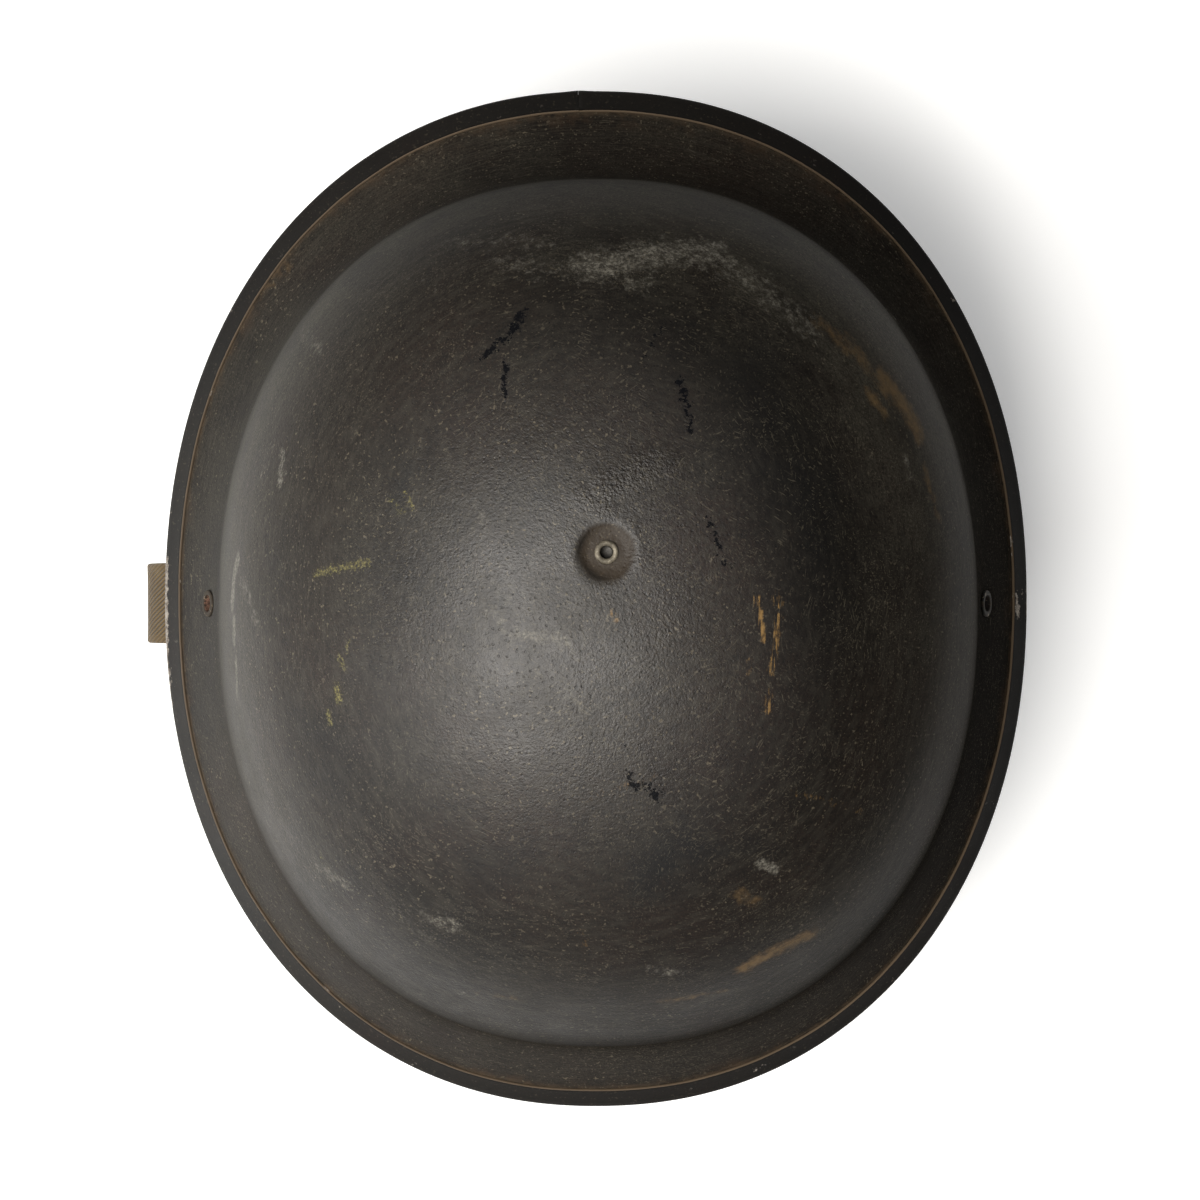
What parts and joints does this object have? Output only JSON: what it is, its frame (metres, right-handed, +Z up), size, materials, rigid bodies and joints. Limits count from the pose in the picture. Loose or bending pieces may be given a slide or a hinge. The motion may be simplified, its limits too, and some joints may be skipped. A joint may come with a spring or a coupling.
{
  "type": "turtle helmet",
  "caption": "Steel combat helmet with a deep bowl, a flared brim and a folded rim band, a snap-in suspension liner and a webbing chinstrap on swivelling lugs.",
  "frame": {"origin": "centre of the plane in which the rim's lowest points lie, in the middle of the head opening", "axes": "+Z up to the crown, -Y to the visor in front, +X to the wearer's left"},
  "size_m": [0.268, 0.3003, 0.2591],
  "materials": {
    "shell_paint": "worn dark paint with a fine texture",
    "rim_paint": "worn dark paint with chips and rust along its edge",
    "dull_steel": "dull plated steel",
    "rivet_metal": "painted steel with rust inside",
    "old_brass": "blackened and rubbed",
    "webbing": "khaki twill webbing",
    "leather": "aged brown leather",
    "fibre": "vulcanised fibre and varnished webbing",
    "felt": "cloth over felt",
    "rubber": "matt moulded rubber"
  },
  "bodies": {
    "helmet": {"helmet_shell": "shell_paint", "rim_band": "rim_paint", "crown_stud": "dull_steel", "crown_washer": "dull_steel", "lug_rivet_left": "rivet_metal", "lug_rivet_right": "rivet_metal", "lug_washer_left": "dull_steel", "lug_washer_right": "dull_steel"},
    "chin_lug_left": {"chin_lug_left": "dull_steel"},
    "chin_lug_right": {"chin_lug_right": "dull_steel"},
    "chinstrap": {"bail_left": "dull_steel", "bail_right": "dull_steel", "chinstrap_webbing": "webbing", "strap_tip": "old_brass"},
    "slider": {"strap_slider": "old_brass"},
    "liner": {"liner_hoop": "fibre", "sweatband": "leather", "cross_strap_long": "fibre", "cross_strap_wide": "fibre", "cross_strap_rivets": "old_brass", "crown_pad": "felt", "dot_socket": "old_brass", "dot_spring": "dull_steel", "socket_backplate": "old_brass", "rubber_buffer_1": "rubber", "rubber_buffer_2": "rubber", "rubber_buffer_3": "rubber", "rubber_buffer_4": "rubber", "rubber_buffer_5": "rubber", "rubber_buffer_6": "rubber", "rubber_buffer_7": "rubber", "rubber_buffer_8": "rubber", "buffer_clip_1": "dull_steel", "buffer_clip_2": "dull_steel", "buffer_clip_3": "dull_steel", "buffer_clip_4": "dull_steel", "buffer_clip_5": "dull_steel", "buffer_clip_6": "dull_steel", "buffer_clip_7": "dull_steel", "buffer_clip_8": "dull_steel"}
  },
  "joints": [
    {"name": "liner_release", "type": "slide", "parent": "helmet", "child": "liner", "axis": [0, 0, -1], "range_m": [0, 0.1]},
    {"name": "chinstrap_swing", "type": "hinge", "parent": "helmet", "child": "chinstrap", "pos_m": [0, 0.001, 0.01861], "axis": [1, 0, 0], "range_deg": [-25, 25]},
    {"name": "lug_swivel_left", "type": "hinge", "parent": "helmet", "child": "chin_lug_left", "pos_m": [0.11083, 0.001, 0.01861], "axis": [0.887, 0, 0.4617], "range_deg": [-33, 33]},
    {"name": "lug_swivel_right", "type": "hinge", "parent": "helmet", "child": "chin_lug_right", "pos_m": [-0.11083, 0.001, 0.01861], "axis": [-0.887, 0, 0.4617], "range_deg": [-33, 33]},
    {"name": "slider_slide", "type": "slide", "parent": "chinstrap", "child": "slider", "axis": [0, 0, 1], "range_m": [-0.012, 0.012]}
  ],
  "couplings": [
    {"joint": "lug_swivel_left", "follows": "chinstrap_swing", "ratio": 1.18},
    {"joint": "lug_swivel_right", "follows": "chinstrap_swing", "ratio": -1.18}
  ]
}
